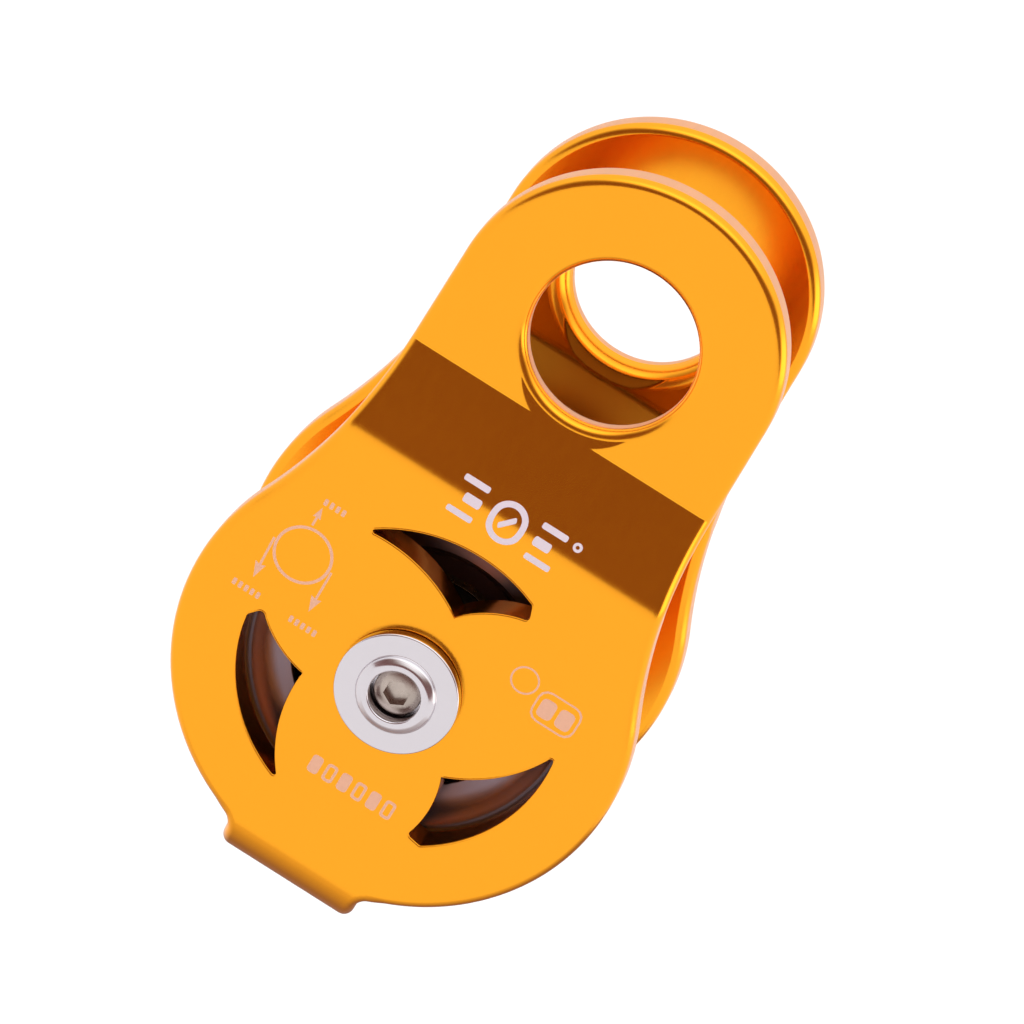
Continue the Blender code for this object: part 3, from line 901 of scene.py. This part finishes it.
class Finish:
    """The nodes of a new material, or of the tree that is given."""

    def __init__(self, name, tree=None):
        self.material = None
        if tree is None:
            self.material = bpy.data.materials.new(name)
            self.material.use_nodes = True
            tree = self.material.node_tree
        self.tree = tree
        self.shader = tree.nodes.get("Principled BSDF")

    def node(self, kind, settings, *values, output=0, **named):
        """Adds a node, with its settings first, then the values or links of its sockets."""
        node = self.tree.nodes.new(kind)
        for key, value in settings.items():
            if key == "stops":
                self.set_stops(node.color_ramp, value)
            else:
                setattr(node, key, value)
        sockets = list(zip(node.inputs, values))
        sockets += [(node.inputs[key.replace("_", " ")], value) for key, value in named.items()]
        for socket, value in sockets:
            self.feed(socket, value)
        return Value(self, node.outputs[output])

    def feed(self, socket, value):
        if isinstance(value, Value):
            self.tree.links.new(value.socket, socket)
        elif value is not None:
            socket.default_value = value

    @staticmethod
    def set_stops(ramp, stops):
        while len(ramp.elements) > 1:
            ramp.elements.remove(ramp.elements[-1])
        ramp.elements[0].position, ramp.elements[0].color = stops[0]
        for position, shade in stops[1:]:
            ramp.elements.new(position).color = shade

    def place(self):
        """Object coordinates."""
        return self.node("ShaderNodeTexCoord", {}, output="Object")

    def coordinate(self, vector, axis):
        """One coordinate of a vector, by its letter."""
        return self.node("ShaderNodeSeparateXYZ", {}, vector, output=axis)

    def vector_math(self, operation, *values, output="Vector", **named):
        settings = {"operation": operation}
        return self.node("ShaderNodeVectorMath", settings, *values, output=output, **named)

    def noise(self, place, scale, detail=2.0, stretch=(1.0, 1.0, 1.0)):
        mapped = self.node("ShaderNodeMapping", {}, place, Scale=stretch)
        return self.node("ShaderNodeTexNoise", {}, mapped, Scale=scale, Detail=detail, output="Fac")

    def mix(self, share, first, second):
        """A colour between two, by share."""
        settings, for_numbers_and_vectors = {"data_type": "RGBA"}, [None] * 5
        ends = [end if isinstance(end, Value) else (*end, 1.0) for end in (first, second)]
        return self.node("ShaderNodeMix", settings, share, *for_numbers_and_vectors, *ends, output=2)

    def bump(self, height, strength, depth, facing=None):
        named = {"Height": height, "Strength": strength, "Distance": depth, "Normal": facing}
        return self.node("ShaderNodeBump", {}, output="Normal", **named)

    def set(self, **values):
        for key, value in values.items():
            name = key.replace("_", " ")
            if key == "Base_Color" and not isinstance(value, Value):
                value = (*value, 1.0)
            self.feed(self.shader.inputs[name], value)
        return self.material


def dimmed(shade, share):
    return tuple(channel * share for channel in shade)


def anodised(name, shade):
    """Satin anodised sheet: rolled grain up the sheet, cloudy dye and a fine etch."""
    finish = Finish(name)
    place = finish.place()
    cloud = finish.noise(place, 55.0, 3.0)
    grain = finish.noise(place, 1400.0, 2.0, (1.0, 1.0, 0.06))
    etch = finish.noise(place, 5200.0, 2.0)
    tone = (cloud * 0.7 + grain * 0.3).ramp(0.3, 0.7)
    tint = finish.mix(tone, dimmed(shade, 0.975), shade)
    roughness = 0.15 + grain * 0.05 + cloud * 0.04
    normal = finish.bump(etch * 0.6 + grain * 0.4, 0.35, 0.004 * MM, flare_by_eye(finish, place))
    return finish.set(Base_Color=tint, Metallic=1.0, Roughness=roughness, Normal=normal)


def flare_by_eye(finish, place):
    """The way the sheet faces, which between the eye and the joggle leans as the joggle does."""
    sizes = bpy.context.scene.pulley_frame
    reach = finish.node("ShaderNodeMapping", {}, place, Scale=(1.0, 0.0, 1.0))
    reach = finish.vector_math("LENGTH", reach, output="Value")
    low = finish.coordinate(place, "Z") * -1.0
    rim = sizes.eye_radius + sizes.rim_round
    valley = sizes.eye_height - sizes.joggle_top
    start, widening, fade = 9.0 * MM, 1.5 * MM, 0.3 * MM
    edge = low.ramp(start, valley) * widening + rim
    share = (edge - reach).ramp(0.0, fade) * reach.ramp(rim - fade / 2, rim)
    share = share * low.ramp(valley + 0.8 * MM, valley + 0.6 * MM)
    facing = finish.node("ShaderNodeNewGeometry", {}, output="Normal")
    outwards = finish.node("ShaderNodeMath", {"operation": "SIGN"}, finish.coordinate(facing, "Y"))
    cheek = finish.node("ShaderNodeMath", {"operation": "SIGN"}, finish.coordinate(place, "Y"))
    slope = joggle_angle(sizes)
    across, up = outwards * math.cos(slope), outwards * cheek * math.sin(slope)
    lean = finish.node("ShaderNodeCombineXYZ", {}, 0.0, across, up)
    change = finish.vector_math("SUBTRACT", lean, facing)
    change = finish.vector_math("SCALE", change, Scale=share)
    return finish.vector_math("NORMALIZE", finish.vector_math("ADD", facing, change))


def cut_edge(name, shade):
    """The milled edge of the sheet, paler and duller than its faces."""
    finish = Finish(name)
    place = finish.place()
    cutter = finish.noise(place, 900.0, 2.0, (1.0, 0.05, 1.0))
    etch = finish.noise(place, 4200.0, 2.0)
    tint = finish.mix(cutter.ramp(0.3, 0.7), dimmed(shade, 0.93), shade)
    roughness = 0.34 + cutter * 0.12
    normal = finish.bump(cutter * 0.7 + etch * 0.3, 0.4, 0.006 * MM)
    return finish.set(Base_Color=tint, Metallic=1.0, Roughness=roughness, Normal=normal)


def from_axle(finish, place):
    """Distance from the axle, in metres."""
    axle = (0.0, 0.0, bpy.context.scene.pulley_frame.eye_height)
    centred = finish.node("ShaderNodeMapping", {}, place, Location=axle, Scale=(1.0, 0.0, 1.0))
    return finish.vector_math("LENGTH", centred, output="Value")


def rings_of(finish, place, pitch):
    """Fine turning marks round the axle, from 0 to 1."""
    radius = from_axle(finish, place)
    wave = finish.node("ShaderNodeMath", {"operation": "SINE"}, radius * (2 * math.pi / pitch))
    drift = finish.noise(place, 2600.0, 2.0)
    return wave * 0.3 + drift * 0.4 + 0.3


def wheel_finish_and_painted_shade(name, shade, recess):
    """Turned and anodised wheel: satin flanges, a rim darkened as painted shade, and the recess round the
    hub painted dark as shade.
    """
    finish = Finish(name)
    place = finish.place()
    radius = from_axle(finish, place)
    lines = rings_of(finish, place, 0.22 * MM)
    past_recess_shade = radius.ramp(15.9 * MM, 16.4 * MM)
    painted_rim_shade = radius.ramp(20.3 * MM, 20.9 * MM)
    across = finish.node("ShaderNodeMath", {"operation": "ABSOLUTE"}, finish.coordinate(place, "Y"))
    past_groove = across.ramp(8.8 * MM, 9.4 * MM)
    cloud = finish.noise(place, 120.0, 3.0)
    face = finish.mix(cloud, dimmed(shade, 0.9), shade)
    # Painted shade: the outer rim is darkened so that it shows no bright reflection between the cheeks.
    face = finish.mix(painted_rim_shade, face, dimmed(shade, 0.35))
    # Painted shade: inside the recess the wheel takes the near-black recess colour; the groove keeps the
    # face colour.
    tint = finish.mix(past_recess_shade, recess, face)
    tint = finish.mix(past_groove, face, tint)
    roughness = 0.36 + lines * 0.08 + cloud * 0.05
    normal = finish.bump(lines, 0.3, 0.01 * MM)
    return finish.set(Base_Color=tint, Metallic=1.0, Roughness=roughness, Normal=normal)


def polished_metal(name, shade):
    """Turned and polished aluminium with faint rings."""
    finish = Finish(name)
    place = finish.place()
    lines = rings_of(finish, place, 0.16 * MM)
    haze = finish.noise(place, 700.0, 3.0)
    tint = finish.mix(haze, dimmed(shade, 0.96), shade)
    roughness = 0.13 + haze * 0.07
    normal = finish.bump(lines, 0.18, 0.006 * MM)
    return finish.set(Base_Color=tint, Metallic=1.0, Roughness=roughness, Normal=normal)


def turned_steel(name, shade):
    """Plain steel or brass with a fine grain."""
    finish = Finish(name)
    place = finish.place()
    grain = finish.noise(place, 2400.0, 3.0)
    stain = finish.noise(place, 260.0, 3.0)
    tint = finish.mix(stain.ramp(0.35, 0.65), dimmed(shade, 0.82), shade)
    roughness = 0.22 + grain * 0.14
    normal = finish.bump(grain, 0.3, 0.008 * MM)
    return finish.set(Base_Color=tint, Metallic=1.0, Roughness=roughness, Normal=normal)


def rubber(name, shade):
    """Dull moulded rubber."""
    finish = Finish(name)
    grain = finish.noise(finish.place(), 1800.0, 3.0)
    tint = finish.mix(grain, dimmed(shade, 0.8), shade)
    normal = finish.bump(grain, 0.3, 0.01 * MM)
    return finish.set(Base_Color=tint, Roughness=0.55 + grain * 0.1, Normal=normal)


def laser_mark(name, shade):
    """Matt, finely etched mark."""
    finish = Finish(name)
    grain = finish.noise(finish.place(), 3000.0, 2.0)
    tint = finish.mix(grain, dimmed(shade, 0.92), shade)
    return finish.set(Base_Color=tint, Roughness=0.6 + grain * 0.15)


def dress_bearing():
    """Gives the bearing inside the wheel its finishes."""
    steel = turned_steel("race_steel", (0.62, 0.62, 0.64))
    brass = turned_steel("cage_brass", (0.62, 0.43, 0.16))
    shield = rubber("shield_rubber", (0.02, 0.02, 0.022))
    spring = turned_steel("snap_ring_steel", (0.3, 0.29, 0.29))
    for name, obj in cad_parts.items():
        if name == "ball_cage":
            material = brass
        elif name.startswith("ball_") or name.endswith("_race"):
            material = steel
        elif name.startswith("shield"):
            material = shield
        elif name == "retaining_ring":
            material = spring
        else:
            continue
        obj.data.materials.clear()
        obj.data.materials.append(material)


# Studio


def level_plane(name, size, x, y, drop):
    """A level square under the hanging pulley."""
    bpy.ops.object.select_all(action="DESELECT")
    bpy.ops.mesh.primitive_plane_add(size=size, location=(x, y, CAD_BOX[0][2] - drop))
    plane = bpy.context.object
    plane.name = plane.data.name = name
    bpy.ops.object.transform_apply(location=True, rotation=True, scale=True)
    return plane


def build_floor(studio, finishes):
    floor = level_plane("studio_floor", size=60.0, x=0.0, y=0.0, drop=studio.floor_drop)
    finish = Finish("pale_floor")
    grain = finish.noise(finish.place(), 6.0, 2.0)
    tint = finish.mix(grain, dimmed(finishes.floor, 0.995), finishes.floor)
    floor.data.materials.append(finish.set(Base_Color=tint, Roughness=0.7))


def build_card(studio, finishes):
    """A dark card under and behind the pulley, out of the camera's sight, that shades its lower edges."""
    card = level_plane("dark_card", size=0.35, x=0.095, y=0.045, drop=studio.card_drop)
    finish = Finish("dark_card")
    place = finish.place()
    towards_back = finish.coordinate(place, "Y").ramp(-0.13, 0.01)
    towards_right = finish.coordinate(place, "X").ramp(-0.07, -0.02)
    pale = (0.8, 0.76, 0.74)
    tint = finish.mix(towards_back * towards_right, pale, finishes.card)
    card.data.materials.append(finish.set(Base_Color=tint, Roughness=0.9))
    card.visible_camera = False
    card.visible_shadow = False


def camera_turn(studio):
    """A camera's turn, from its azimuth, elevation and roll, and the way back from what it looks at."""
    azimuth, elevation = studio.azimuth, studio.elevation
    around = Vector((math.sin(azimuth), -math.cos(azimuth), 0.0))
    back = around * math.cos(elevation) + Vector((0.0, 0.0, math.sin(elevation)))
    level = Vector((math.cos(azimuth), math.sin(azimuth), 0.0))
    upright = back.cross(level)
    cos, sin = math.cos(studio.roll), math.sin(studio.roll)
    right = level * cos + upright * sin
    up = upright * cos - level * sin
    return Matrix((right, up, back)).transposed(), back


def build_camera(studio):
    turn, back = camera_turn(studio)
    aim = Vector((-0.03 * MM, 0.0, studio.aim_height - bpy.context.scene.pulley_frame.eye_height))
    bpy.ops.object.camera_add()
    camera = bpy.context.object
    camera.matrix_world = turn.to_4x4()
    camera.location = aim + back * studio.distance
    camera.data.sensor_width = 36.0
    camera.data.lens = studio.lens
    bpy.context.scene.camera = camera


def build_surround():
    """Soft light all round, bright overhead and in a strip at the right, dim and warm low in front."""
    world = bpy.data.worlds.new("studio_surround")
    bpy.context.scene.world = world
    world.use_nodes = True
    finish = Finish("surround", world.node_tree)
    direction = finish.node("ShaderNodeTexCoord", {}, output="Generated")
    x, y, z = (finish.coordinate(direction, axis) for axis in "XYZ")
    climb = finish.node("ShaderNodeMath", {"operation": "ARCSINE"}, z) * (2 / math.pi)
    front = (y * -1.0).ramp(0.15, 0.55)
    ahead = finish.node(
        "ShaderNodeValToRGB",
        {
            "stops": [
                (0.0, (0.30, 0.15, 0.14, 1.0)),
                (0.24, (0.22, 0.11, 0.10, 1.0)),
                (0.33, (0.32, 0.20, 0.17, 1.0)),
                (0.42, (1.1, 1.05, 1.0, 1.0)),
                (0.55, (2.05, 2.05, 2.05, 1.0)),
                (0.8, (1.85, 1.85, 1.85, 1.0)),
                (1.0, (1.3, 1.3, 1.3, 1.0)),
            ]
        },
        climb,
    )
    around = finish.node(
        "ShaderNodeValToRGB",
        {
            "stops": [
                (0.0, (1.0, 0.98, 1.0, 1.0)),
                (0.4, (1.2, 1.18, 1.2, 1.0)),
                (1.0, (1.3, 1.3, 1.3, 1.0)),
            ]
        },
        climb,
    )
    glow = finish.mix(front, around, ahead)
    strip = x.ramp(0.8, 0.93) * climb.ramp(0.3, 0.18)
    glow = finish.mix(strip, glow, (2.3, 2.2, 2.1))
    seen = finish.node("ShaderNodeLightPath", {}, output="Is Camera Ray")
    shown = finish.mix(seen, glow, (1.0, 1.0, 1.0))
    background = world.node_tree.nodes["Background"]
    finish.feed(background.inputs["Color"], shown)
    background.inputs["Strength"].default_value = 1.0


# Operators


class PULLEY_OT_frame(bpy.types.Operator):
    """Folds the sheet frame with its eye and windows"""

    bl_idname = "pulley.frame"
    bl_label = "Folded frame"

    def execute(self, context):
        build_frame(context.scene.pulley_frame, context.scene.pulley_finishes)
        return {"FINISHED"}


class PULLEY_OT_sheave(bpy.types.Operator):
    """Turns the grooved wheel"""

    bl_idname = "pulley.sheave"
    bl_label = "Grooved wheel"

    def execute(self, context):
        build_sheave(context.scene.pulley_sheave, context.scene.pulley_finishes)
        return {"FINISHED"}


class PULLEY_OT_bearing(bpy.types.Operator):
    """Turns the spacers and finishes the bearing inside the wheel"""

    bl_idname = "pulley.bearing"
    bl_label = "Bearing and spacers"

    def execute(self, context):
        scene = context.scene
        build_spacers(scene.pulley_axle, scene.pulley_frame, scene.pulley_finishes)
        dress_bearing()
        return {"FINISHED"}


class PULLEY_OT_axle(bpy.types.Operator):
    """Turns both flanges of the axle and its screw"""

    bl_idname = "pulley.axle"
    bl_label = "Axle"

    def execute(self, context):
        scene = context.scene
        build_axle(scene.pulley_axle, scene.pulley_frame, scene.pulley_finishes)
        return {"FINISHED"}


class PULLEY_OT_marks(bpy.types.Operator):
    """Lays the plain marks on the front cheek"""

    bl_idname = "pulley.marks"
    bl_label = "Marks"

    def execute(self, context):
        build_marks(context.scene.pulley_frame, context.scene.pulley_finishes)
        return {"FINISHED"}


class PULLEY_OT_stage(bpy.types.Operator):
    """Adds the floor, the camera and the light"""

    bl_idname = "pulley.stage"
    bl_label = "Studio"

    def execute(self, context):
        scene = context.scene
        build_camera(scene.pulley_studio)
        build_floor(scene.pulley_studio, scene.pulley_finishes)
        build_card(scene.pulley_studio, scene.pulley_finishes)
        build_surround()
        scene.view_settings.view_transform = "Standard"
        return {"FINISHED"}


class PULLEY_PT_build(bpy.types.Panel):
    """Lists the steps that build the pulley"""

    bl_idname = "PULLEY_PT_build"
    bl_label = "Rope pulley"
    bl_space_type = "VIEW_3D"
    bl_region_type = "UI"
    bl_category = "Pulley"

    def draw(self, context):
        for operator in STEPS:
            self.layout.operator(operator.bl_idname)


STEPS = (
    PULLEY_OT_stage,
    PULLEY_OT_frame,
    PULLEY_OT_sheave,
    PULLEY_OT_bearing,
    PULLEY_OT_axle,
    PULLEY_OT_marks,
)
GROUPS = {
    "pulley_frame": PulleyFrameSizes,
    "pulley_sheave": PulleySheaveSizes,
    "pulley_axle": PulleyAxleSizes,
    "pulley_finishes": PulleyFinishes,
    "pulley_studio": PulleyStudio,
}


def register():
    for cls in (*GROUPS.values(), *STEPS, PULLEY_PT_build):
        bpy.utils.register_class(cls)
    for name, group in GROUPS.items():
        setattr(bpy.types.Scene, name, PointerProperty(type=group))


def unregister():
    for name in GROUPS:
        delattr(bpy.types.Scene, name)
    for cls in (PULLEY_PT_build, *reversed(STEPS), *reversed(GROUPS.values())):
        bpy.utils.unregister_class(cls)


def main():
    register()
    for operator in STEPS:
        group, step = operator.bl_idname.split(".")
        getattr(getattr(bpy.ops, group), step)()


if __name__ == "__main__":
    main()
